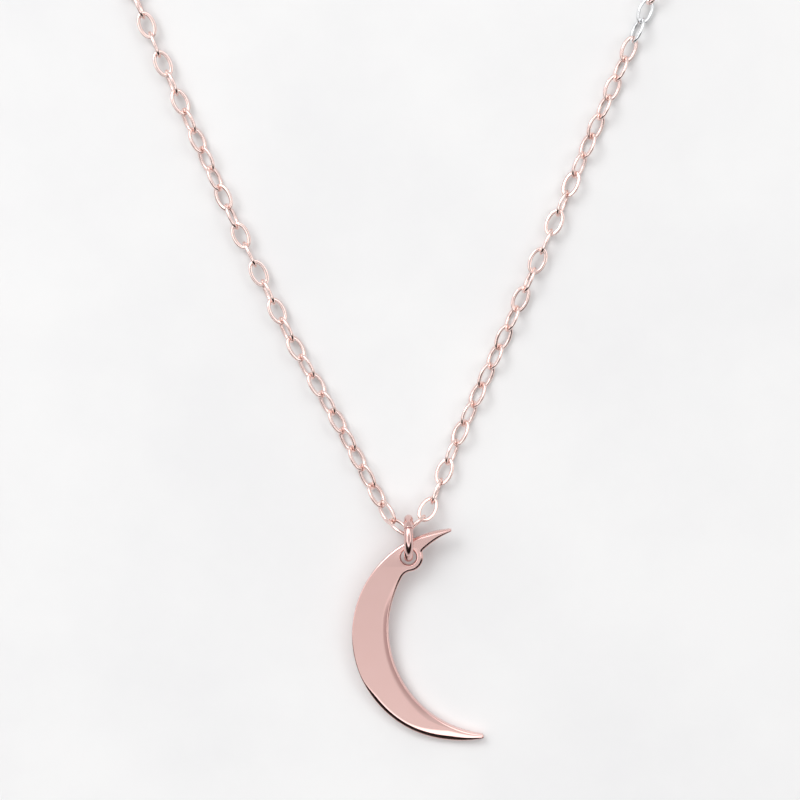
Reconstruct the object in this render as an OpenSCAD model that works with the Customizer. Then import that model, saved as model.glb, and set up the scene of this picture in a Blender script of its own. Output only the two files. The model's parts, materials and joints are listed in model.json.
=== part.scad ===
// Pendant necklace: a flat crescent moon on a jump ring, on a fine cable chain of oval links
// that fastens at the back with a spring ring clasp.
// It lies face up on a surface at z = 0, the chain in an open loop and the clasp undone.
// +Z is up, +Y runs from the pendant towards the clasp, and the origin is under the middle of
// the whole necklace. Millimetres.

/* [Chain] */
// Outer length of one oval link
link_length = 2.64; // [2.5:0.02:2.7]
// Outer width of one oval link
link_width = 1.64; // [1.5:0.01:1.7]
// Thickness of the round wire that the links are made of
link_wire = 0.32; // [0.28:0.01:0.34]
// Running gap where two links hook into each other
link_gap = 0.04; // [0.03:0.01:0.06]

/* [Crescent] */
// Diameter of the disc that the crescent is cut from, which is its height
moon_d = 20; // [18:0.5:21]
// Diameter of the circle that is cut out of that disc
moon_cut_d = 20.2; // [19.8:0.1:20.6]
// Distance between the centres of the disc and of the cut
moon_width = 3.57; // [3.3:0.01:3.9]
// Thickness of the plate
moon_t = 0.9; // [0.7:0.05:1]
// Diameter of the hole for the jump ring
moon_hole_d = 1.5; // [1.4:0.05:1.6]
// Diameter of the round lug that carries the hole past the crescent's inner edge
moon_lug_d = 2.75; // [2.6:0.05:3]

/* [Pendant jump ring] */
// Outer diameter of the ring that carries the crescent
bail_d = 4.4; // [4.3:0.05:4.8]
// Wire thickness of that ring
bail_wire = 0.85; // [0.7:0.05:0.9]

/* [Clasp] */
// Outer diameter of the spring ring
clasp_d = 6; // [5.8:0.1:6.5]
// Outer diameter of the tube that the spring ring is bent from
clasp_tube_d = 1.3; // [1.2:0.05:1.4]
// Wall thickness of that tube
clasp_wall = 0.2; // [0.15:0.01:0.22]
// Angle of the mouth that the bolt closes
clasp_mouth = 50; // [45:1:55]
// Outer diameter of the small ring between the chain and the clasp
clasp_ring_d = 3; // [2.8:0.1:3.4]
// Wire thickness of that small ring
clasp_ring_wire = 0.5; // [0.4:0.05:0.5]
// Outer diameter of the ring that the clasp hooks into
end_ring_d = 4.4; // [4:0.1:5]
// Wire thickness of the ring that the clasp hooks into
end_ring_wire = 0.7; // [0.6:0.05:0.7]

/* [Hidden] */
$fn = 24;
seam = 0.05;          // saw cut where a jump ring is closed
segment_links = 8;    // links that each chain node holds
segments = 12;        // chain nodes on each side of the pendant

rose_gold = "#E0AFA6";
pale_rose = "#EBC6BE";

// Half the length and half the width of a link along the middle of its wire.
half_l = (link_length - link_wire) / 2;
half_w = (link_width - link_wire) / 2;
link_tip = 0.1;       // short straight stretch of wire at each end of a link
corner_r = half_w - link_tip / 2;
// Distance from one hook to the next, and from the middle of a hook to the wires that meet there.
pitch = link_length - 2 * link_wire - link_gap;
hook = (link_wire + link_gap) / 2;

// The middle of the pendant's jump ring, which stands on its edge, before the move to the origin.
bail_r = (bail_d - bail_wire) / 2;
bail_z = bail_d / 2;
// Where the first link of each side starts. The two hook into each other inside that ring, at an
// angle, so these points lie a little apart.
left_start = [-0.12, 0.46, 2.48];
right_start = [-0.11, 0.64, 2.14];
held_up = [1.7, 0.95];    // heights of the next two hooks on each side, which that ring holds up

// The course of each side of the chain from the pendant to the clasp, in stretches of
// [links, heading at the start and at the end, roll at the start and at the end].
// A heading of 90 runs along +Y, and a roll of 0 lays every other link flat.
LEFT_COURSE = [
    [1, 140.4, 140.4, 57, 57],
    [1, 124, 124, 45, 45],
    [4, 117.8, 117.8, 45, 42],
    [5, 119.6, 119.6, 42, 32],
    [5, 116.2, 115.6, 30, 0],
    [5, 114.6, 114.2, -5, -50],
    [5, 114.4, 114.4, -50, -85],
    [5, 112.2, 112, -85, -110],
    [10, 112, 112, -110, -180],
    [16, 112, 112, -180, -180],
    [39, 112, 0, -180, -180]
];
RIGHT_COURSE = [
    [1, 41, 41, 83, 83],
    [1, 58, 58, 90, 90],
    [3, 68.6, 68.6, 86, 56],
    [6, 65.6, 65.6, 54, 34],
    [5, 66, 66, 32, -4],
    [6, 66.8, 66.8, -6, -60],
    [8, 66.7, 66.7, -60, -60],
    [10, 66.7, 66.8, -60, -90],
    [15, 66.8, 67, -90, -90],
    [40, 67, 180, -90, -90]
];

function total(course) = [for (stretch = course) 1] * [for (stretch = course) stretch[0]];
// A value that runs evenly from the start to the end of each stretch, at link i.
function along(course, i, column, k = 0) =
    k == len(course) - 1 || i < course[k][0]
        ? let (share = min((i + 0.5) / course[k][0], 1))
          course[k][column] * (1 - share) + course[k][column + 1] * share
        : along(course, i - course[k][0], column, k + 1);
function heading(course, i) = along(course, i, 1);
// Each link stands a quarter turn round from the one before.
function roll(course, i) = along(course, i, 3) + (i % 2) * 90;

// How high the middle of a link lies when it rests on the surface, rolled by an angle.
function resting(angle) = half_w * max(abs(sin(angle)), abs(cos(angle))) + link_wire / 2;
function hook_z(course, i) =
    i <= len(held_up) ? held_up[i - 1] : max(resting(roll(course, i - 1)), resting(roll(course, i)));

// The unit vector of a link that starts at height z and ends at hook i + 1.
function course_step(course, i, z) =
    let (rise = (hook_z(course, i + 1) - z) / pitch, level = sqrt(1 - rise * rise))
    [level * cos(heading(course, i)), level * sin(heading(course, i)), rise];
// Every hook of one side, from the pendant outwards.
function hooks(course, start) = [
    for (i = 0, p = start; i <= total(course); p = p + pitch * course_step(course, i, p.z), i = i + 1) p
];

left_hooks = hooks(LEFT_COURSE, left_start);
right_hooks = hooks(RIGHT_COURSE, right_start);

// The crescent: the hole, the middles of the disc and of the cut measured from the hole, and
// the lean of a plate that rests on the jump ring at the hole and on the surface at its foot.
hole_z = 1.85;
hole_y = -sqrt(bail_r * bail_r - (bail_z - hole_z) * (bail_z - hole_z));
disc_at = [4.73, -7.34];
cut_towards = 9.5;
cut_at = disc_at + moon_width * [cos(cut_towards), sin(cut_towards)];
// A round run leads from the lug into the limb below it. Its middle keeps its radius away from
// the lug and from the edge of the cut.
blend_r = 1.1;
lug_r = moon_lug_d / 2;
cut_r = moon_cut_d / 2;
// The lower of the two points where a circle round the hole crosses one round the cut's middle.
function lower_cross(r_hole, r_cut) =
    let (d = norm(cut_at), e = cut_at / d, x = (d * d + r_hole * r_hole - r_cut * r_cut) / (2 * d))
    x * e + sqrt(r_hole * r_hole - x * x) * [e.y, -e.x] * sign(e.x);
blend_at = lower_cross(lug_r + blend_r, cut_r - blend_r);
moon_foot = moon_d / 2 - disc_at.y;
moon_lean = asin((hole_z - moon_t / 2) / moon_foot);
// The lower and the upper horn end blunt, this far past the middle of the disc.
horn_end = [0.7, 0.92];

// The whole necklace is moved so that the origin is under its middle.
all_x = [for (p = concat(left_hooks, right_hooks)) p.x];
all_y = [for (p = concat(left_hooks, right_hooks)) p.y];
middle = [
    (min(all_x) + max(all_x)) / 2,
    (hole_y - moon_foot + max(all_y) + clasp_d / 2) / 2,
    0
];
module to_origin() {
    translate(-middle) children();
}

// The far end of each side: the middle of the last link's outer tip, and the way it points.
function tip_of(course, points) =
    let (n = total(course), d = (points[n] - points[n - 1]) / pitch) points[n] + hook * d;
module at_left_end(z) {
    end = tip_of(LEFT_COURSE, left_hooks);
    translate([end.x, end.y, z]) rotate(heading(LEFT_COURSE, total(LEFT_COURSE) - 1)) children();
}
module at_right_end(z) {
    end = tip_of(RIGHT_COURSE, right_hooks);
    translate([end.x, end.y, z]) rotate(heading(RIGHT_COURSE, total(RIGHT_COURSE) - 1)) children();
}

// The clasp, measured along its side of the chain from the last link's tip. Angles go round the
// spring ring from the side that faces away from the chain.
ring_play = 0.06;
clasp_ring_r = (clasp_ring_d - clasp_ring_wire) / 2;
clasp_ring_x = clasp_ring_r - (link_wire + clasp_ring_wire) / 2 - ring_play;
clasp_ring_z = 0.8;
clasp_eye_d = 1.9;
clasp_eye_wire = 0.4;
clasp_eye_r = (clasp_eye_d - clasp_eye_wire) / 2;
clasp_r = (clasp_d - clasp_tube_d) / 2;
eye_play = 0.2;       // from the small ring's wire to the middle of the eye
eye_x = clasp_ring_x + clasp_ring_r + eye_play;
clasp_x = eye_x + clasp_eye_r + clasp_d / 2;
mouth_start = 20;
mouth_end = mouth_start + clasp_mouth;
bolt_d = clasp_tube_d - 2 * clasp_wall - 0.14;
bolt_start = 12;
bolt_end = mouth_end + 34;
bolt_travel = clasp_mouth + 4;
lever_at = mouth_end + 14;
lever_d = 0.5;
bore_end = 205;       // where the tube is closed behind the spring

end_ring_r = (end_ring_d - end_ring_wire) / 2;
end_ring_play = 0.1;
end_ring_x = end_ring_r - (link_wire + end_ring_wire) / 2 - end_ring_play;
end_ring_z = 0.75;
end_ring_lean = asin((end_ring_z - end_ring_wire / 2) / (2 * end_ring_r));

function segment_name(side, k) = str("chain_", side, "_", k < 10 ? "0" : "", k);

// One oval link in the XY plane, long axis along X: four corners, two sides and two tips.
module link() {
    for (x = [0, 1], y = [0, 1])
        mirror([x, 0, 0]) mirror([0, y, 0])
            translate([half_l - corner_r, link_tip / 2, 0])
                rotate_extrude(angle = 90) translate([corner_r, 0]) circle(d = link_wire);
    side_l = 2 * (half_l - corner_r);
    for (side = [-1, 1]) {
        translate([-side_l / 2, side * half_w, 0]) rotate([0, 90, 0]) cylinder(d = link_wire, h = side_l);
        translate([side * half_l, -link_tip / 2, 0])
            rotate([-90, 0, 0]) cylinder(d = link_wire, h = link_tip);
    }
}

// The links of chain node k, counted from the pendant, on one side.
module chain_segment(course, points, k) {
    first = (k - 1) * segment_links;
    last = min(first + segment_links, total(course)) - 1;
    color(pale_rose) to_origin()
        for (i = [first:last]) {
            d = points[i + 1] - points[i];
            translate((points[i] + points[i + 1]) / 2)
                rotate([roll(course, i), -asin(d.z / pitch), heading(course, i)])
                    link();
        }
}

// A ring of round wire in the XY plane, sawn through at angle seam_at.
module jump_ring(r, wire, seam_at) {
    cut = seam / r * 180 / PI;
    rotate(seam_at + cut / 2)
        rotate_extrude(angle = 360 - cut, $fn = 96) translate([r, 0]) circle(d = wire, $fn = 32);
}

module pendant_jump_ring() {
    color(rose_gold) to_origin()
        translate([0, 0, bail_z]) rotate([90, 0, 90]) jump_ring(bail_r, bail_wire, 60);
}

// What the round run adds between the lug and the limb.
module lug_blend() {
    corner = lower_cross(lug_r, cut_r);
    on_lug = blend_at * lug_r / norm(blend_at);
    on_cut = cut_at + (blend_at - cut_at) * cut_r / norm(blend_at - cut_at);
    into_plate = corner + 0.5 * (corner - blend_at) / norm(corner - blend_at);
    difference() {
        polygon([on_lug, into_plate, on_cut, blend_at]);
        translate(blend_at) circle(r = blend_r, $fn = 64);
    }
}

module crescent_outline() {
    difference() {
        union() {
            lug_blend();
            difference() {
                translate(disc_at) circle(d = moon_d, $fn = 180);
                translate(cut_at) circle(d = moon_cut_d, $fn = 180);
                translate(disc_at) rotate(cut_towards)
                    for (k = [0, 1]) translate([horn_end[k], (k - 1) * moon_d]) square(moon_d);
            }
            circle(d = moon_lug_d, $fn = 64);
        }
        circle(d = moon_hole_d, $fn = 64);
    }
}

module crescent_plate() {
    color(rose_gold) to_origin()
        translate([0, hole_y, hole_z]) rotate([moon_lean, 0, 0])
            translate([0, 0, -moon_t / 2]) linear_extrude(moon_t) crescent_outline();
}

module clasp_jump_ring() {
    color(rose_gold) to_origin() at_left_end(clasp_ring_z)
        translate([clasp_ring_x, 0, 0]) jump_ring(clasp_ring_r, clasp_ring_wire, 90);
}

module clasp_eye() {
    color(rose_gold) to_origin() at_left_end(clasp_eye_d / 2)
        translate([eye_x, 0, 0]) rotate([90, 0, 0])
            rotate_extrude() translate([clasp_eye_r, 0]) circle(d = clasp_eye_wire);
}

// A stretch of a ring of round section, from one angle to another.
module arc_rod(r, d, from, to) {
    rotate(from) rotate_extrude(angle = to - from, $fn = 96) translate([r, 0]) circle(d = d);
}

module clasp_tube() {
    slot_side = 5;    // room on each side of the lever at the ends of its travel
    slot_h = lever_d + 0.12;
    color(rose_gold) to_origin() at_left_end(clasp_tube_d / 2) translate([clasp_x, 0, 0])
        difference() {
            arc_rod(clasp_r, clasp_tube_d, mouth_end, mouth_start + 360);
            arc_rod(clasp_r, clasp_tube_d - 2 * clasp_wall, mouth_end - 1, bore_end);
            arc_rod(clasp_r, clasp_tube_d - 2 * clasp_wall, bolt_start - 1, mouth_start + 1);
            rotate(lever_at - slot_side)
                rotate_extrude(angle = bolt_travel + 2 * slot_side, $fn = 96)
                    translate([clasp_r, -slot_h / 2]) square([clasp_tube_d, slot_h]);
        }
}

module clasp_bolt() {
    lever_l = clasp_tube_d / 2 + 0.75;
    color(rose_gold) to_origin() at_left_end(clasp_tube_d / 2) translate([clasp_x, 0, 0]) {
        arc_rod(clasp_r, bolt_d, bolt_start, bolt_end);
        rotate(lever_at) translate([clasp_r, 0, 0]) rotate([0, 90, 0]) {
            cylinder(d = lever_d, h = lever_l);
            translate([0, 0, lever_l - 0.3]) cylinder(d = 0.9, h = 0.3);
        }
    }
}

// The coil spring behind the bolt, bent along the tube: a five-sided wire swept round a helix.
spring_turns = 14;
spring_steps = 10;
spring_wire = 0.1;
spring_r = 0.32;
spring_from = bolt_end + 1;
spring_to = bore_end - 1;
function spring_point(u, side) =
    let (turn = 360 * spring_turns * u, way = spring_from + (spring_to - spring_from) * u)
    let (reach = spring_r + spring_wire / 2 * cos(72 * side))
    let (out = clasp_r + reach * cos(turn), up = reach * sin(turn))
    [out * cos(way), out * sin(way), up]
        + spring_wire / 2 * sin(72 * side) * [-sin(way), cos(way), 0];
module clasp_spring() {
    rings = spring_turns * spring_steps;
    wire_points = [for (i = [0:rings], side = [0:4]) spring_point(i / rings, side)];
    walls = [
        for (i = [0:rings - 1], side = [0:4])
            let (a = 5 * i + side, b = 5 * i + (side + 1) % 5) [a, b, b + 5, a + 5]
    ];
    caps = [[4, 3, 2, 1, 0], [for (side = [0:4]) 5 * rings + side]];
    color("silver") to_origin() at_left_end(clasp_tube_d / 2) translate([clasp_x, 0, 0])
        polyhedron(wire_points, concat(walls, caps), convexity = 10);
}

module end_ring() {
    color(rose_gold) to_origin() at_right_end(end_ring_z)
        rotate([0, end_ring_lean, 0]) translate([end_ring_x, 0, 0])
            jump_ring(end_ring_r, end_ring_wire, 60);
}

for (k = [1:segments]) {
    chain_segment(LEFT_COURSE, left_hooks, k);
    chain_segment(RIGHT_COURSE, right_hooks, k);
}
pendant_jump_ring();
crescent_plate();
clasp_jump_ring();
clasp_eye();
clasp_tube();
clasp_bolt();
clasp_spring();
end_ring();
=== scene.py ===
import json
import math

import bpy
import numpy as np
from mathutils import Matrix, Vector, geometry


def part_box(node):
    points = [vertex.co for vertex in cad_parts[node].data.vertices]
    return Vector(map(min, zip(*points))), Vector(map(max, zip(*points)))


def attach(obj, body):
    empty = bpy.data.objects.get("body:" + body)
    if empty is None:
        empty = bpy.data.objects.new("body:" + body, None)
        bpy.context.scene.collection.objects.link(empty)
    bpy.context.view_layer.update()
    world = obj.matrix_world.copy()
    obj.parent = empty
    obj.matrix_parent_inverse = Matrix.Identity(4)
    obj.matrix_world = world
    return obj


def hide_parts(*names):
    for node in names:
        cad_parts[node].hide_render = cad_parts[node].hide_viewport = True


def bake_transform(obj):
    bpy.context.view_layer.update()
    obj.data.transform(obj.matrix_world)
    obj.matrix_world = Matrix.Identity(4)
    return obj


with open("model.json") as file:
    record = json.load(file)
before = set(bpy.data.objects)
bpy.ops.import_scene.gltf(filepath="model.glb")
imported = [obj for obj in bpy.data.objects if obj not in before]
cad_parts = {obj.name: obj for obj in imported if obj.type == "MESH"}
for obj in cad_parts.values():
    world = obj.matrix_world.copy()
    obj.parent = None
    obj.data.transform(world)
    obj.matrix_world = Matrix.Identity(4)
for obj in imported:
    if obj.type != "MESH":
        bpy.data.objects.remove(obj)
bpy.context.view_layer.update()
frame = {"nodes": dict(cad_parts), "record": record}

MM = 0.001
SEGMENT_LINKS = 8              # links of one chain node
HALF_L, HALF_W = 1.16, 0.66    # of a link, along the middle of its wire
LINK_WIRE = 0.32
PITCH = 1.96


# ---------------------------------------------------------------------------------------------
# The chain's course, as in the CAD source: stretches of [links, heading, heading, roll, roll].

LEFT_START, RIGHT_START = (-0.12, 0.46, 2.48), (-0.11, 0.64, 2.14)
HELD_UP = (1.7, 0.95)
LEFT_COURSE = (
    (1, 140.4, 140.4, 57, 57),
    (1, 124, 124, 45, 45),
    (4, 117.8, 117.8, 45, 42),
    (5, 119.6, 119.6, 42, 32),
    (5, 116.2, 115.6, 30, 0),
    (5, 114.6, 114.2, -5, -50),
    (5, 114.4, 114.4, -50, -85),
    (5, 112.2, 112, -85, -110),
    (10, 112, 112, -110, -180),
    (16, 112, 112, -180, -180),
    (39, 112, 0, -180, -180),
)
RIGHT_COURSE = (
    (1, 41, 41, 83, 83),
    (1, 58, 58, 90, 90),
    (3, 68.6, 68.6, 86, 56),
    (6, 65.6, 65.6, 54, 34),
    (5, 66, 66, 32, -4),
    (6, 66.8, 66.8, -6, -60),
    (8, 66.7, 66.7, -60, -60),
    (10, 66.7, 66.8, -60, -90),
    (15, 66.8, 67, -90, -90),
    (40, 67, 180, -90, -90),
)


def total(course):
    """How many links the course has."""
    return sum(stretch[0] for stretch in course)


def along(course, i, column):
    """A value that runs evenly from the start to the end of each stretch, at link i."""
    for k, stretch in enumerate(course):
        if k == len(course) - 1 or i < stretch[0]:
            share = min((i + 0.5) / stretch[0], 1)
            return stretch[column] * (1 - share) + stretch[column + 1] * share
        i -= stretch[0]


def roll(course, i):
    return along(course, i, 3) + (i % 2) * 90


def resting(angle):
    """How high the middle of a link lies when it rests on the surface, rolled by an angle."""
    a = math.radians(angle)
    return HALF_W * max(abs(math.sin(a)), abs(math.cos(a))) + LINK_WIRE / 2


def hook_z(course, i):
    """How high link i hooks into the link before it: held up by the ring, or resting."""
    if i <= len(HELD_UP):
        return HELD_UP[i - 1]
    return max(resting(roll(course, i - 1)), resting(roll(course, i)))


def links_of(course, start):
    """Each link's (centre, long axis, width axis), in mm, with the pendant's ring at the origin."""
    links, p = [], np.array(start, float)
    for i in range(total(course)):
        rise = (hook_z(course, i + 1) - p[2]) / PITCH
        h, r = math.radians(along(course, i, 1)), math.radians(roll(course, i))
        level = math.sqrt(1 - rise * rise)
        u = np.array([level * math.cos(h), level * math.sin(h), rise])
        n = np.array([-math.sin(h), math.cos(h), 0])
        w = math.cos(r) * n + math.sin(r) * np.cross(u, n)
        links.append((p + PITCH / 2 * u, u, w))
        p = p + PITCH * u
    return links


# The middle of the pendant's jump ring in the row frame, in mm.
ring_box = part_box("pendant_jump_ring")
RING = np.array([(ring_box[0][k] + ring_box[1][k]) / 2 / MM for k in range(3)])
TO_ROW = np.array([RING[0], RING[1], 0])


# ---------------------------------------------------------------------------------------------
# Camera: straight down, 800 px for 74.8 mm.

PX = 0.0935 * MM
HALF_FRAME = 400                 # px
RING_AT = (408.5, 537.5)         # where the ring's middle is seen, px from the upper left
SENSOR, LENS = 36, 120           # mm
SEEN_Z = 0.001                   # the level that the scale holds for, m

camera_data = bpy.data.cameras.new("camera")
camera = bpy.data.objects.new("camera", camera_data)
bpy.context.scene.collection.objects.link(camera)
camera_data.sensor_width = SENSOR
camera_data.lens = LENS
camera.location = (
    RING[0] * MM + (HALF_FRAME - RING_AT[0]) * PX,
    RING[1] * MM + (RING_AT[1] - HALF_FRAME) * PX,
    SEEN_Z + HALF_FRAME * PX / (SENSOR / 2 / LENS),
)
camera_data.clip_start, camera_data.clip_end = 0.01, 10
bpy.context.scene.camera = camera
bpy.context.scene.view_settings.view_transform = "Standard"
bpy.context.scene.view_settings.look = "None"


# ---------------------------------------------------------------------------------------------
# Materials

def nodes_of(name):
    """A new material, its node tree and its Principled BSDF."""
    m = bpy.data.materials.new(name)
    m.use_nodes = True
    t = m.node_tree
    return m, t, t.nodes["Principled BSDF"]


def add(t, kind, **values):
    """A new node; in_NAME or in_NUMBER sets an input, any other word an attribute."""
    n = t.nodes.new(kind)
    for k, v in values.items():
        if k.startswith("in_"):
            key = k[3:].replace("_", " ")
            n.inputs[int(key) if key.isdigit() else key].default_value = v
        else:
            setattr(n, k, v)
    return n


def metal(name, colour, dark, rough, rough_spread=0.06, scratch=0.012):
    """Polished plated metal: faint clouds in the colour, uneven polish and hair-fine scratches."""
    m, t, p = nodes_of(name)
    link = t.links.new
    p.inputs["Metallic"].default_value = 1
    at = add(t, "ShaderNodeTexCoord")
    cloud = add(t, "ShaderNodeTexNoise", in_Scale=420, in_Detail=3, in_Roughness=0.55)
    link(at.outputs["Object"], cloud.inputs["Vector"])
    tint = add(t, "ShaderNodeMix", data_type="RGBA")
    tint.inputs["A"].default_value = (*dark, 1)
    tint.inputs["B"].default_value = (*colour, 1)
    spread = add(t, "ShaderNodeMapRange", in_1=0.3, in_2=0.62)
    link(cloud.outputs["Fac"], spread.inputs["Value"])
    link(spread.outputs["Result"], tint.inputs["Factor"])
    link(tint.outputs["Result"], p.inputs["Base Color"])
    polish = add(t, "ShaderNodeTexNoise", in_Scale=1500, in_Detail=4, in_Roughness=0.6)
    link(at.outputs["Object"], polish.inputs["Vector"])
    uneven = add(t, "ShaderNodeMapRange", in_3=rough, in_4=rough + rough_spread)
    link(polish.outputs["Fac"], uneven.inputs["Value"])
    link(uneven.outputs["Result"], p.inputs["Roughness"])
    turned = add(t, "ShaderNodeMapping")
    turned.inputs["Rotation"].default_value = (0, 0, math.radians(35))
    turned.inputs["Scale"].default_value = (900, 12000, 900)
    link(at.outputs["Object"], turned.inputs["Vector"])
    hair = add(t, "ShaderNodeTexNoise", in_Scale=1, in_Detail=4, in_Roughness=0.65)
    link(turned.outputs["Vector"], hair.inputs["Vector"])
    soft = add(t, "ShaderNodeTexNoise", in_Scale=700, in_Detail=1)
    link(at.outputs["Object"], soft.inputs["Vector"])
    both = add(t, "ShaderNodeMath", operation="MULTIPLY_ADD", in_1=0.25)
    link(hair.outputs["Fac"], both.inputs[0])
    link(soft.outputs["Fac"], both.inputs[2])
    bump = add(t, "ShaderNodeBump", in_Strength=scratch, in_Distance=0.0002)
    link(both.outputs[0], bump.inputs["Height"])
    link(bump.outputs["Normal"], p.inputs["Normal"])
    return m


CHAIN = metal("chain_rose_gold", (0.95, 0.75, 0.705), (0.91, 0.69, 0.64), 0.14)
SILVER = metal("chain_silver", (0.86, 0.87, 0.88), (0.78, 0.79, 0.81), 0.12)
CRESCENT = metal("crescent_rose_gold", (0.94, 0.632, 0.592), (0.925, 0.617, 0.573), 0.13,
                 rough_spread=0.03, scratch=0.006)
# The jump ring's rose gold is the clasp's metal made darker: painted shade for the dull look of the
# ring's top under this light.
RING_PAINTED_SHADE_METAL = metal("ring_rose_gold_painted_shade", (0.765, 0.522, 0.492), (0.715, 0.477, 0.448), 0.10)
CLASP = metal("clasp_rose_gold", (0.90, 0.61, 0.56), (0.86, 0.56, 0.51), 0.14)
STEEL = metal("spring_steel", (0.62, 0.62, 0.64), (0.5, 0.5, 0.52), 0.28)


# ---------------------------------------------------------------------------------------------
# Mesh helpers, all in mm in the row frame

def piece(name, points, faces, material, body, stands_for=(), sharp=None):
    """One object that rides on body (None for a blended piece); sharp is in degrees."""
    mesh = bpy.data.meshes.new(name)
    mesh.from_pydata([tuple(float(c) * MM for c in p) for p in points], [], faces)
    mesh.polygons.foreach_set("use_smooth", [True] * len(mesh.polygons))
    if sharp is not None:
        mesh.set_sharp_from_angle(angle=math.radians(sharp))
    mesh.materials.append(material)
    mesh.update()
    made = bpy.data.objects.new(name, mesh)
    bpy.context.scene.collection.objects.link(made)
    if body:
        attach(made, body)
    if stands_for:
        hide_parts(*stands_for)
    return made


class Shape:
    """The points and faces of the solids that make up one piece."""

    def __init__(self):
        self.points, self.faces = [], []

    def put(self, points, faces):
        base = len(self.points)
        self.points += [tuple(p) for p in points]
        self.faces += [tuple(base + k for k in f) for f in faces]

    def loop(self, centres, outs, ups, profile):
        """A closed sweep: at each centre the profile (a, b) lies at a * out + b * up."""
        n, m = len(centres), len(profile)
        points = [c + a * o + b * z for c, o, z in zip(centres, outs, ups) for a, b in profile]
        faces = [
            (i * m + j, (i + 1) % n * m + j, (i + 1) % n * m + (j + 1) % m, i * m + (j + 1) % m)
            for i in range(n) for j in range(m)
        ]
        self.put(points, faces)

    def rod(self, centres, outs, ups, scales, profile):
        """An open sweep with a scale at each centre, closed by a fan at both ends."""
        n, m = len(centres), len(profile)
        points = [
            c + s * (a * o + b * z)
            for c, o, z, s in zip(centres, outs, ups, scales) for a, b in profile
        ]
        faces = [
            (i * m + j, (i + 1) * m + j, (i + 1) * m + (j + 1) % m, i * m + (j + 1) % m)
            for i in range(n - 1) for j in range(m)
        ]
        faces += [tuple(range(m)), tuple((n - 1) * m + m - 1 - j for j in range(m))]
        self.put(points, faces)


def round_profile(r, n=20, flat=2.0, wide=1.0):
    """A circle, or with flat over 2 a squarer one, as a wire that was rolled."""
    out = []
    for k in range(n):
        a = 2 * math.pi * k / n
        c, s = math.cos(a), math.sin(a)
        out.append((wide * r * math.copysign(abs(c) ** (2 / flat), c),
                    r * math.copysign(abs(s) ** (2 / flat), s)))
    return out


# ---------------------------------------------------------------------------------------------
# Chain: every link is its own closed loop of slightly flattened wire.

LINK_STEPS = 48
# (outwards in the link's plane, across it): rolled a little flatter and wider than round wire,
# with the extra width on the outside, so that the links stay free of each other. The two links
# in the pendant's ring keep the slim wire, which clears it.
LINK_PROFILE = [(a + 0.016, b) for a, b in round_profile(0.152, 16, 2.8, 1.18)]
SLIM_PROFILE = round_profile(0.156, 16, 2.4)
SILVER_LINKS = (26, 27)          # on the right


def add_link(shape, centre, u, w, slim=False):
    """A link at centre: u is its long axis and w the axis of its width."""
    z = np.cross(u, w)
    centres, outs, ups = [], [], []
    for k in range(LINK_STEPS):
        a = 2 * math.pi * k / LINK_STEPS
        c, s = math.cos(a), math.sin(a)
        # The normal of an ellipse; points are set closer at the narrow ends.
        n = c * HALF_W * u + s * HALF_L * w
        centres.append(centre + HALF_L * c * u + HALF_W * s * w)
        outs.append(n / np.linalg.norm(n))
        ups.append(z)
    shape.loop(centres, outs, ups, SLIM_PROFILE if slim else LINK_PROFILE)


def chain_side(side, course, start, silver=()):
    """One piece for each chain node of a side, and one for its silver links."""
    links = links_of(course, start)
    for k in range(math.ceil(len(links) / SEGMENT_LINKS)):
        node = f"chain_{side}_{k + 1:02d}"
        body = "centre" if k == 0 else node
        rose, plain = Shape(), Shape()
        for i in range(k * SEGMENT_LINKS, min((k + 1) * SEGMENT_LINKS, len(links))):
            centre, u, w = links[i]
            add_link(plain if i in silver else rose, centre + TO_ROW, u, w, slim=i == 0)
        piece(f"links_{side}_{k + 1:02d}", rose.points, rose.faces, CHAIN, body, (node,))
        if plain.points:
            piece(f"links_{side}_silver", plain.points, plain.faces, SILVER, body)


chain_side("left", LEFT_COURSE, LEFT_START)
chain_side("right", RIGHT_COURSE, RIGHT_START, silver=SILVER_LINKS)


# ---------------------------------------------------------------------------------------------
# Crescent: a flat plate with a polished edge. Its outline has the hole's middle at the origin.

BAIL_R, BAIL_WIRE, BAIL_Z = 1.775, 0.85, 2.2    # the jump ring that it leans on
HOLE_Z = 1.85
HOLE_Y = -math.sqrt(BAIL_R ** 2 - (BAIL_Z - HOLE_Z) ** 2)
DISC = np.array([4.73, -7.34])
TOWARDS = math.radians(9.5)
AXIS = np.array([math.cos(TOWARDS), math.sin(TOWARDS)])
MOON_R, CUT_R, MOON_WIDTH, MOON_T = 10.0, 10.1, 3.57, 0.9
CUT = DISC + MOON_WIDTH * AXIS
HOLE_R, LUG_R, BLEND_R = 0.72, 1.375, 1.1
LOW_END, TOP_END = 0.7, 0.92      # where the horns are cut, past the middle of the disc
LEAN = math.asin((HOLE_Z - MOON_T / 2) / (MOON_R - DISC[1]))
OUTLINE_STEP = 0.09
# The rounding's tilt against the face, in degrees, at shares of its width, and its rows.
TILT_AT, TILT = (0, 0.10, 0.84, 1), (12, 26, 38, 84)
ROUNDING_ROWS = (0, 0.05, 0.10, 0.2, 0.36, 0.52, 0.68, 0.84, 0.90, 0.95, 0.98, 1)
FACET_ROWS = 9
BACK_SOFT = 0.45                  # the back's rounding, as a share of the front's
HOLE_SOFT = 0.16                  # the rounding of the hole's rim


def arc(centre, r, a0, a1, n):
    """n points of an arc, angles in radians."""
    return [centre + r * np.array([math.cos(a), math.sin(a)]) for a in np.linspace(a0, a1, n)]


def circle_cross(c0, r0, c1, r1):
    """The two points where two circles cross."""
    d = np.linalg.norm(c1 - c0)
    x = (d * d + r0 * r0 - r1 * r1) / (2 * d)
    y = math.sqrt(max(r0 * r0 - x * x, 0))
    e = (c1 - c0) / d
    f = np.array([-e[1], e[0]])
    return c0 + x * e + y * f, c0 + x * e - y * f


def angle(centre, p):
    return math.atan2(p[1] - centre[1], p[0] - centre[0])


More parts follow.
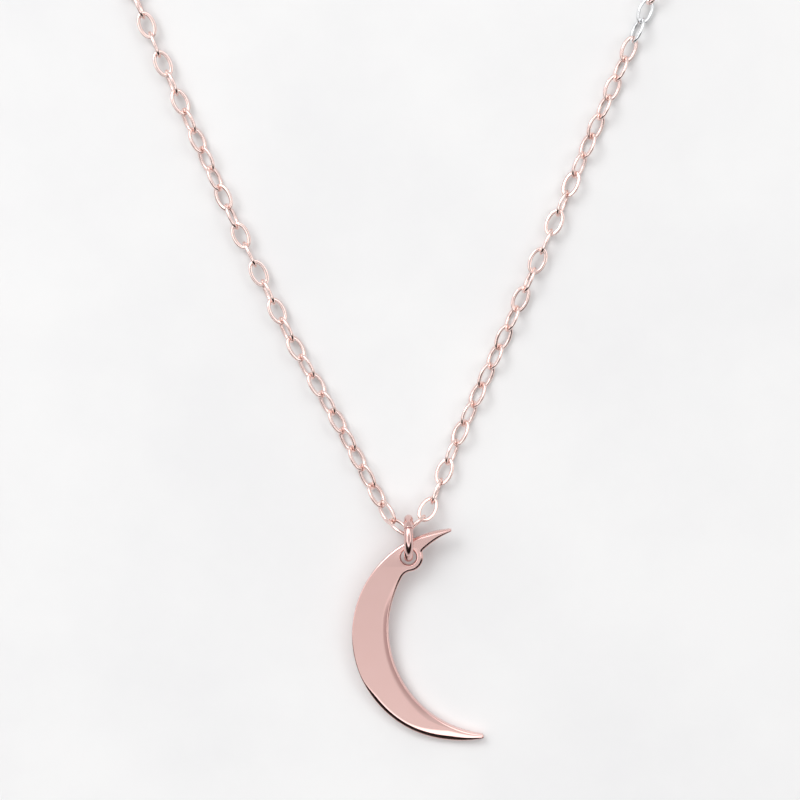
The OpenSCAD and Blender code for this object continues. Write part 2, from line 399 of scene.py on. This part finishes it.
def resample(points, step):
    """Even spacing along an open line, ends kept."""
    p = np.array(points)
    length = np.concatenate([[0], np.cumsum(np.linalg.norm(np.diff(p, axis=0), axis=1))])
    n = max(2, int(round(length[-1] / step)) + 1)
    s = np.linspace(0, length[-1], n)
    return np.stack([np.interp(s, length, p[:, k]) for k in (0, 1)], axis=1)


def crescent_outline():
    """The outline counter-clockwise, as one closed line: outer arc, lower horn, inner arc with
    the lug, upper horn."""
    side = np.array([-AXIS[1], AXIS[0]])

    def horn_corner(end, way, r, middle):
        return DISC + end * AXIS + way * math.sqrt(r ** 2 - (end - middle) ** 2) * side

    top_out, low_out = horn_corner(TOP_END, 1, MOON_R, 0), horn_corner(LOW_END, -1, MOON_R, 0)
    top_in = horn_corner(TOP_END, 1, CUT_R, MOON_WIDTH)
    low_in = horn_corner(LOW_END, -1, CUT_R, MOON_WIDTH)
    a0, a1 = angle(DISC, top_out), angle(DISC, low_out) + 2 * math.pi
    outer = arc(DISC, MOON_R, a0, a1, 300)
    # The lug: sharp where it meets the upper horn, a smooth run into the limb below.
    upper = max(circle_cross(np.zeros(2), LUG_R, CUT, CUT_R), key=lambda q: q[1])
    # The blend's middle is inside the cut, BLEND_R from the cut's circle and from the lug's.
    b = min(circle_cross(np.zeros(2), LUG_R + BLEND_R, CUT, CUT_R - BLEND_R),
            key=lambda q: q[1])
    on_cut = CUT + (b - CUT) / np.linalg.norm(b - CUT) * CUT_R
    on_lug = b / np.linalg.norm(b) * LUG_R
    c_low, c_blend = angle(CUT, low_in) % (2 * math.pi), angle(CUT, on_cut) % (2 * math.pi)
    inner = arc(CUT, CUT_R, c_low, c_blend, 240)
    b0, b1 = angle(b, on_cut), angle(b, on_lug)
    if b1 - b0 > math.pi:
        b1 -= 2 * math.pi
    if b0 - b1 > math.pi:
        b1 += 2 * math.pi
    blend = arc(b, BLEND_R, b0, b1, 30)
    l0, l1 = angle(np.zeros(2), on_lug), angle(np.zeros(2), upper)
    if l1 < l0:
        l1 += 2 * math.pi
    lug = arc(np.zeros(2), LUG_R, l0, l1, 50)
    c_up, c_top = angle(CUT, upper) % (2 * math.pi), angle(CUT, top_in) % (2 * math.pi)
    horn = arc(CUT, CUT_R, c_up, c_top, 80)
    runs = [outer, [low_out, low_in], inner, blend, lug, horn, [top_in, top_out]]
    line = []
    for run in runs:
        line += list(resample(run, OUTLINE_STEP))[:-1]
    return np.array(line)


def smooth_closed(values, times):
    """Each value averaged with its neighbours, round a closed line."""
    for _ in range(times):
        values = (np.roll(values, 1, 0) + 2 * values + np.roll(values, -1, 0)) / 4
    return values


def inside_normals(line):
    d = np.roll(line, -1, 0) - np.roll(line, 1, 0)
    d /= np.linalg.norm(d, axis=1)[:, None]
    return np.stack([-d[:, 1], d[:, 0]], axis=1)


def room(line, normals):
    """How far each point can move inwards before it meets another part of the outline."""
    got = np.empty(len(line))
    for k, (p, n) in enumerate(zip(line, normals)):
        v = line - p
        ahead = v @ n
        near = ahead > 0.02
        # The largest circle that touches the outline at p and holds none of the other points.
        r = (v[near] ** 2).sum(1) / (2 * ahead[near])
        got[k] = r.min()
    return got


def edge_rows(line, reach):
    """The front of the plate's edge as rows of (distance from the outline, height), from the flat
    face to the rim. A buffed facet runs along the edge, and a rounding ends it: both are widest on
    the outside of the lower horn, and along the inner curve of the limb the facet is broad."""
    inner = np.clip((CUT_R + 0.25 - np.linalg.norm(line - CUT, axis=1)) / 0.2, 0, 1)
    from_disc = line - DISC
    around = np.degrees(np.arctan2(from_disc[:, 1], from_disc[:, 0])) % 360

    def rise(a0, a1):
        t = np.clip((around - a0) / (a1 - a0), 0, 1)
        return t * t * (3 - 2 * t)

    # Shares of 0 to 1 for the stretches of the outline: the lower outside and its end, the lower
    # horn's inside, the limb's inner curve, the lug with the upper horn's inside, and the upper
    # horn's outside.
    under = rise(203, 218) * (1 - inner)
    low = rise(236, 268) * (1 - inner)
    end = rise(246, 272)
    limb = inner * rise(124, 165) * (1 - end)
    hook = inner * (1 - rise(128, 152))
    crown = (1 - inner) * (1 - rise(108, 124))

    # How wide and deep the rounding is, then the same of the facet.
    inset = (0.07 + 0.15 * crown + 0.27 * under + 0.12 * low
             + 0.08 * limb + 0.18 * hook + 0.11 * end * inner)
    inset = np.minimum(inset, (0.70 - 0.35 * end * inner) * reach)
    inset = np.minimum(smooth_closed(inset, 24), (0.88 - 0.5 * end * inner) * reach)
    half = MOON_T / 2
    drop = np.minimum(inset * (0.9 - 0.38 * under), half * 0.70)
    by_hole = 0.9 * (np.linalg.norm(line, axis=1) - 0.92)
    facet = 0.02 + 0.08 * crown + 0.09 * under + 0.42 * low + 0.46 * limb
    fall_w = np.minimum(inset + facet, (0.93 + 0.45 * low - 0.5 * end * inner) * reach)
    fall_w = np.maximum(smooth_closed(np.minimum(fall_w, by_hole), 16), inset + 0.01)
    slope = smooth_closed(0.138 * under + 0.36 * crown + 0.16 * limb, 16)
    fall = slope * fall_w
    power = 1.12 + 0.25 * smooth_closed(limb, 16)

    rows = [(fall_w + np.minimum(0.10, 0.06 * reach), np.full(len(line), half))]
    for s in range(FACET_ROWS):
        d = fall_w + (inset - fall_w) * s / FACET_ROWS
        rows.append((d, half - fall * (1 - d / fall_w) ** power))
    fine = np.linspace(0, 1, 401)
    tilt = np.interp(fine, TILT_AT, TILT)
    sunk = np.concatenate([[0], np.cumsum(np.tan(np.radians((tilt[1:] + tilt[:-1]) / 2)))])
    for share in ROUNDING_ROWS:
        d = inset * (1 - share)
        down = drop * np.interp(share, fine, sunk / sunk[-1])
        rows.append((d, half - fall * (1 - d / fall_w) ** power - down))
    return rows, inset, drop


def build_crescent():
    line = smooth_closed(crescent_outline(), 2)
    normals = inside_normals(line)
    hole = np.array([[HOLE_R * math.cos(a), HOLE_R * math.sin(a)]
                     for a in -np.linspace(0, 2 * math.pi, 72, endpoint=False)])
    hole_normals = hole / HOLE_R
    shape_rows, inset, drop = edge_rows(line, room(line, normals))
    half = MOON_T / 2
    rings = [(line + normals * d[:, None], z) for d, z in shape_rows]
    n = len(line)

    def strip(base, count, rows):
        """The faces between closed rows of count points each."""
        return [
            (a, a + count, b + count, b)
            for r in range(rows - 1)
            for k in range(count)
            for a, b in [(base + r * count + k, base + r * count + (k + 1) % count)]
        ]

    rows = [np.column_stack([xy, z]) for xy, z in rings]
    rows += [np.column_stack([line + normals * (BACK_SOFT * inset * (1 - math.sin(f)))[:, None],
                              -half + BACK_SOFT * drop * (1 - math.cos(f))])
             for f in [math.pi / 2 * (1 - s / 5) for s in range(6)]]
    points = [tuple(p) for row in rows for p in row]
    faces = strip(0, n, len(rows))

    def hole_row(f, side):
        """One row of the hole's rounded rim: f = 0 on the face, f = 1 on the wall."""
        out = HOLE_SOFT * (1 - math.sin(f * math.pi / 2))
        down = HOLE_SOFT * (1 - math.cos(f * math.pi / 2))
        return np.column_stack([hole + hole_normals * out,
                                np.full(len(hole), side * (half - down))])

    hole_rows = [hole_row(k / 5, 1) for k in range(6)] + [hole_row(1 - k / 5, -1) for k in range(6)]
    base = len(points)
    points += [tuple(p) for row in hole_rows for p in row]
    m = len(hole)
    faces += strip(base, m, len(hole_rows))
    # Front and back faces, each with the hole.
    front_line, front_hole = list(range(n)), list(range(base, base + m))
    last = (len(rows) - 1) * n
    back_line = list(range(last, last + n))
    back_hole = list(range(base + (len(hole_rows) - 1) * m, base + len(hole_rows) * m))
    for outline, cut, flip in ((front_line, front_hole, False), (back_line, back_hole, True)):
        ids = outline + cut
        polys = [[Vector(points[k][:2] + (0,)) for k in outline],
                 [Vector(points[k][:2] + (0,)) for k in cut]]
        for tri in geometry.tessellate_polygon(polys):
            a, b, c = (ids[k] for k in tri)
            ux, uy = points[b][0] - points[a][0], points[b][1] - points[a][1]
            vx, vy = points[c][0] - points[a][0], points[c][1] - points[a][1]
            up = ux * vy - uy * vx > 0
            faces.append((a, b, c) if up != flip else (a, c, b))
    # Into place, leaning on the jump ring.
    c, s = math.cos(LEAN), math.sin(LEAN)
    origin = np.array([RING[0], RING[1] + HOLE_Y, HOLE_Z])
    placed = [origin + np.array([x, y * c - z * s, y * s + z * c]) for x, y, z in points]
    piece("crescent", placed, faces, CRESCENT, "crescent",
          ("crescent_plate",), sharp=50)


build_crescent()


# ---------------------------------------------------------------------------------------------
# Rings and clasp

def add_ring(shape, centre, ex, ey, r, wire, seam_at, gap=0.05, steps=96, n=24):
    """A ring of round wire, sawn through at seam_at, its cut ends slightly rounded."""
    ex, ey = np.array(ex, float), np.array(ey, float)
    z = np.cross(ex, ey)
    cut = gap / r
    a0, a1 = seam_at + cut / 2, seam_at + 2 * math.pi - cut / 2
    ends = 0.035 / r
    angles = [a0, a0 + ends * 0.3, a0 + ends] + list(np.linspace(a0, a1, steps)[1:-1])
    angles += [a1 - ends, a1 - ends * 0.3, a1]
    scales = [0.93, 0.98, 1.0] + [1.0] * (steps - 2) + [1.0, 0.98, 0.93]
    outs = [math.cos(a) * ex + math.sin(a) * ey for a in angles]
    shape.rod([centre + r * o for o in outs], outs, [z] * len(outs), scales,
              round_profile(wire / 2, n))


_, Y, Z = np.eye(3)
bail = Shape()
add_ring(bail, RING, Y, Z, BAIL_R, BAIL_WIRE, math.radians(60), steps=128, n=32)
piece("jump_ring", bail.points, bail.faces, RING_PAINTED_SHADE_METAL, "pendant_jump_ring",
      ("pendant_jump_ring",), sharp=60)

for node in ("clasp_tube", "clasp_bolt", "clasp_eye", "clasp_jump_ring", "end_ring"):
    cad = frame["nodes"][node]
    cad.data.materials.clear()
    cad.data.materials.append(CLASP)

SPRING_TURNS, SPRING_WIRE = 9, 0.085


def clasp_spring():
    """A coil bent along the tube, from the bolt's end (first) to the closed end of the bore."""
    pull = next(j for j in frame["record"]["behaviour"]["joints"] if j["name"] == "bolt_pull")
    middle = np.array(pull["pos_m"]) / MM
    cad = np.array([v.co for v in frame["nodes"]["clasp_spring"].data.vertices]) / MM - middle
    reach = np.hypot(cad[:, 0], cad[:, 1])
    centre_r = (reach.min() + reach.max()) / 2
    coil_r = (reach.max() - reach.min()) / 2 - SPRING_WIRE / 2
    # The coil lies across the angle 180, so angles are taken from there.
    ways = np.arctan2(-cad[:, 1], -cad[:, 0]) + math.pi
    first, last = ways.min() + 0.02, ways.max() - 0.02
    steps = SPRING_TURNS * 24
    u = np.linspace(0, 1, steps + 1)
    way, turn = first + (last - first) * u, 2 * math.pi * SPRING_TURNS * u

    def at(way, turn, r):
        out = centre_r + r * np.cos(turn)
        return np.column_stack([out * np.cos(way), out * np.sin(way), r * np.sin(turn)])

    line = at(way, turn, coil_r)
    outs = at(way, turn, coil_r + 1) - line
    run = np.gradient(line, axis=0)
    run /= np.linalg.norm(run, axis=1)[:, None]
    coil = Shape()
    coil.rod(line + middle, outs, np.cross(run, outs), np.ones(steps + 1),
             round_profile(SPRING_WIRE / 2, 10))
    made = piece("coil_spring", coil.points, coil.faces, STEEL, None, ("clasp_spring",),
                 sharp=60)
    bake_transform(made)


clasp_spring()


# ---------------------------------------------------------------------------------------------
# Floor

FLOOR_HALF = 2.0                  # m
FLOOR_Z = -0.00002


def floor():
    mesh = bpy.data.meshes.new("floor")
    corners = [(x * FLOOR_HALF, y * FLOOR_HALF, 0) for x, y in ((-1, -1), (1, -1), (1, 1), (-1, 1))]
    mesh.from_pydata(corners, [], [(0, 1, 2, 3)])
    made = bpy.data.objects.new("floor", mesh)
    bpy.context.scene.collection.objects.link(made)
    made.location.z = FLOOR_Z
    m, t, p = nodes_of("pale_stone")
    p.inputs["Roughness"].default_value = 0.5
    p.inputs["Specular IOR Level"].default_value = 0.2
    at = add(t, "ShaderNodeTexCoord")
    cloud = add(t, "ShaderNodeTexNoise", in_Scale=35, in_Detail=6, in_Roughness=0.6)
    t.links.new(at.outputs["Object"], cloud.inputs["Vector"])
    tint = add(t, "ShaderNodeMix", data_type="RGBA")
    tint.inputs["A"].default_value = (0.81, 0.81, 0.815, 1)
    tint.inputs["B"].default_value = (0.85, 0.85, 0.85, 1)
    spread = add(t, "ShaderNodeMapRange", in_1=0.35, in_2=0.6)
    t.links.new(cloud.outputs["Fac"], spread.inputs["Value"])
    t.links.new(spread.outputs["Result"], tint.inputs["Factor"])
    t.links.new(tint.outputs["Result"], p.inputs["Base Color"])
    mesh.materials.append(m)


floor()


# ---------------------------------------------------------------------------------------------
# Light: a pale room that is dark low down towards -Y, and one soft lamp at the upper left.

LAMP_FROM = Vector((-0.28, 0.30, 0.42))     # the lamp's place, from the point that it is aimed at
# How bright the room is at each height of the direction, as half of the strength.
LEVELS = (
    (0.3, 0.34), (0.58, 0.40), (0.66, 0.95), (0.86, 0.95),
    (0.925, 0.50), (0.96, 0.42), (0.975, 0.345),
)


def room_light():
    world = bpy.data.worlds.new("room")
    bpy.context.scene.world = world
    world.use_nodes = True
    t = world.node_tree
    link = t.links.new
    background = t.nodes["Background"]
    at = add(t, "ShaderNodeTexCoord")
    part = add(t, "ShaderNodeSeparateXYZ")
    link(at.outputs["Generated"], part.inputs["Vector"])

    level = add(t, "ShaderNodeValToRGB")
    r = level.color_ramp
    r.elements[0].position, r.elements[0].color = 0.0, (0.35, 0.35, 0.35, 1)
    r.elements[1].position, r.elements[1].color = 1.0, (0.33, 0.33, 0.3325, 1)
    for pos, v in LEVELS:
        e = r.elements.new(pos)
        e.color = (v, v, v, 1)
    link(part.outputs["Z"], level.inputs["Fac"])

    low = add(t, "ShaderNodeMapRange", interpolation_type="SMOOTHSTEP", in_1=0.80, in_2=0.72)
    link(part.outputs["Z"], low.inputs["Value"])
    off_ground = add(t, "ShaderNodeMapRange", interpolation_type="SMOOTHSTEP", in_1=0.10, in_2=0.2)
    link(part.outputs["Z"], off_ground.inputs["Value"])
    front = add(t, "ShaderNodeMapRange", interpolation_type="SMOOTHSTEP", in_1=-0.16, in_2=-0.36)
    link(part.outputs["Y"], front.inputs["Value"])
    one = add(t, "ShaderNodeMath", operation="MULTIPLY")
    link(low.outputs["Result"], one.inputs[0])
    link(off_ground.outputs["Result"], one.inputs[1])
    two = add(t, "ShaderNodeMath", operation="MULTIPLY")
    link(one.outputs[0], two.inputs[0])
    link(front.outputs["Result"], two.inputs[1])
    shade = add(t, "ShaderNodeMix", data_type="RGBA")
    link(two.outputs[0], shade.inputs["Factor"])
    link(level.outputs["Color"], shade.inputs["A"])
    shade.inputs["B"].default_value = (0.008, 0.006, 0.006, 1)
    # A dimmer patch of ceiling off to the right.
    right = add(t, "ShaderNodeMapRange", interpolation_type="SMOOTHSTEP", in_1=0.12, in_2=0.30)
    link(part.outputs["X"], right.inputs["Value"])
    above = add(t, "ShaderNodeMapRange", interpolation_type="SMOOTHSTEP", in_1=0.80, in_2=0.87)
    link(part.outputs["Z"], above.inputs["Value"])
    patch = add(t, "ShaderNodeMath", operation="MULTIPLY")
    link(right.outputs["Result"], patch.inputs[0])
    link(above.outputs["Result"], patch.inputs[1])
    dim = add(t, "ShaderNodeMix", data_type="RGBA")
    link(patch.outputs[0], dim.inputs["Factor"])
    link(shade.outputs["Result"], dim.inputs["A"])
    dim.inputs["B"].default_value = (0.23, 0.205, 0.205, 1)
    link(dim.outputs["Result"], background.inputs["Color"])
    background.inputs["Strength"].default_value = 2.0

    lamp_data = bpy.data.lights.new("lamp", "AREA")
    lamp_data.shape = "DISK"
    lamp_data.size = 0.32
    lamp_data.energy = 0.9
    lamp = bpy.data.objects.new("lamp", lamp_data)
    bpy.context.scene.collection.objects.link(lamp)
    aim = Vector((camera.location.x, camera.location.y, 0))
    lamp.location = aim + LAMP_FROM
    lamp.rotation_euler = (aim - lamp.location).to_track_quat("-Z", "Y").to_euler()


room_light()
